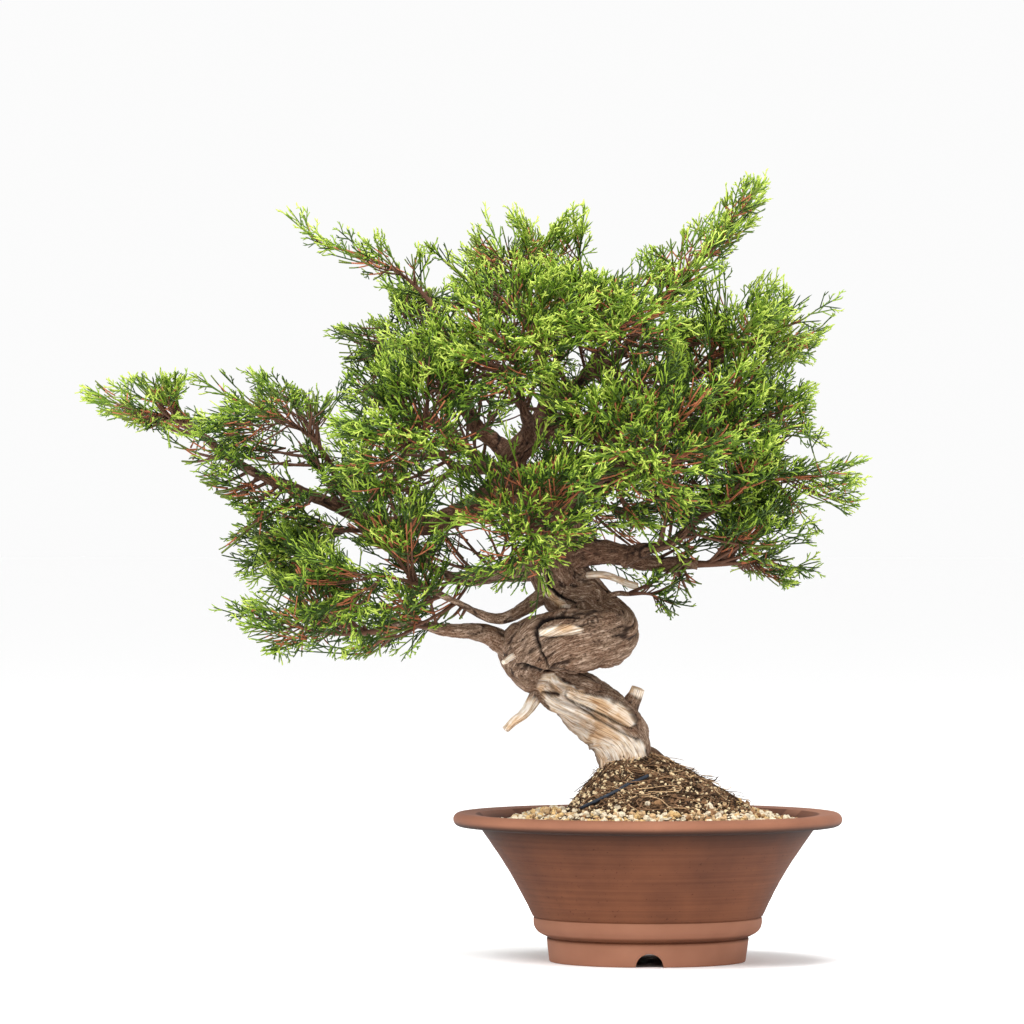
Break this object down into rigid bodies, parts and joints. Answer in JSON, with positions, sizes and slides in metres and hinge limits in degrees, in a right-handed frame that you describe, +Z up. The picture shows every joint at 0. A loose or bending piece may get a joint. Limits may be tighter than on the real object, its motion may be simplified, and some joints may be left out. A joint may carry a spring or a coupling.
{
  "type": "bonsai",
  "caption": "Juniper bonsai with a twisted, folded trunk and open green crown in a round unglazed brown clay pot",
  "frame": {"origin": "centre of the overall box in X and Y, on the flat underside of the pot's foot ring", "axes": "+Z up; -Y towards the side seen in the picture; +X to the right in the picture"},
  "size_m": [0.4168, 0.2438, 0.407],
  "materials": {
    "stoneware": "unglazed, matt, with wheel marks",
    "grit": "matt, loose grains",
    "root_soil": "rough, fibrous",
    "wire": "dark anodised, satin",
    "bark": "rough, fibrous bark",
    "deadwood": "bare, weathered, dry",
    "foliage": "matt, leafy"
  },
  "bodies": {
    "root": {"pot": "stoneware", "grit_bed": "grit", "root_heap": "root_soil", "tie_wire": "wire", "trunk": "bark", "dead_stub_left": "deadwood", "dead_stub_right": "deadwood", "dead_peg": "deadwood", "cut_stick": "deadwood", "surface_root": "bark", "bough_apex_right": "bark", "bough_back": "bark", "bough_back_high": "bark", "bough_back_left": "bark", "bough_back_right": "bark", "bough_front": "bark", "bough_front_high": "bark", "bough_front_left": "bark", "bough_front_right": "bark", "bough_front_top": "bark", "bough_high_right": "bark", "bough_left_inner": "bark", "bough_left_leader": "bark", "bough_left_reach": "bark", "bough_left_shoulder": "bark", "bough_low_left": "bark", "bough_low_right": "bark", "bough_mid_left": "bark", "bough_mid_right": "bark", "bough_right_reach": "bark", "bough_sprig": "bark", "bough_top_left": "bark", "bough_top_right": "bark", "foliage_apex": "foliage", "foliage_apex_right": "foliage", "foliage_back": "foliage", "foliage_back_high": "foliage", "foliage_back_left": "foliage", "foliage_back_right": "foliage", "foliage_front": "foliage", "foliage_front_high": "foliage", "foliage_front_left": "foliage", "foliage_front_right": "foliage", "foliage_front_top": "foliage", "foliage_high_right": "foliage", "foliage_left_inner": "foliage", "foliage_left_leader": "foliage", "foliage_left_reach": "foliage", "foliage_left_shoulder": "foliage", "foliage_low_left": "foliage", "foliage_low_right": "foliage", "foliage_mid_left": "foliage", "foliage_mid_right": "foliage", "foliage_right_reach": "foliage", "foliage_sprig": "foliage", "foliage_top_left": "foliage", "foliage_top_right": "foliage"}
  },
  "joints": []
}
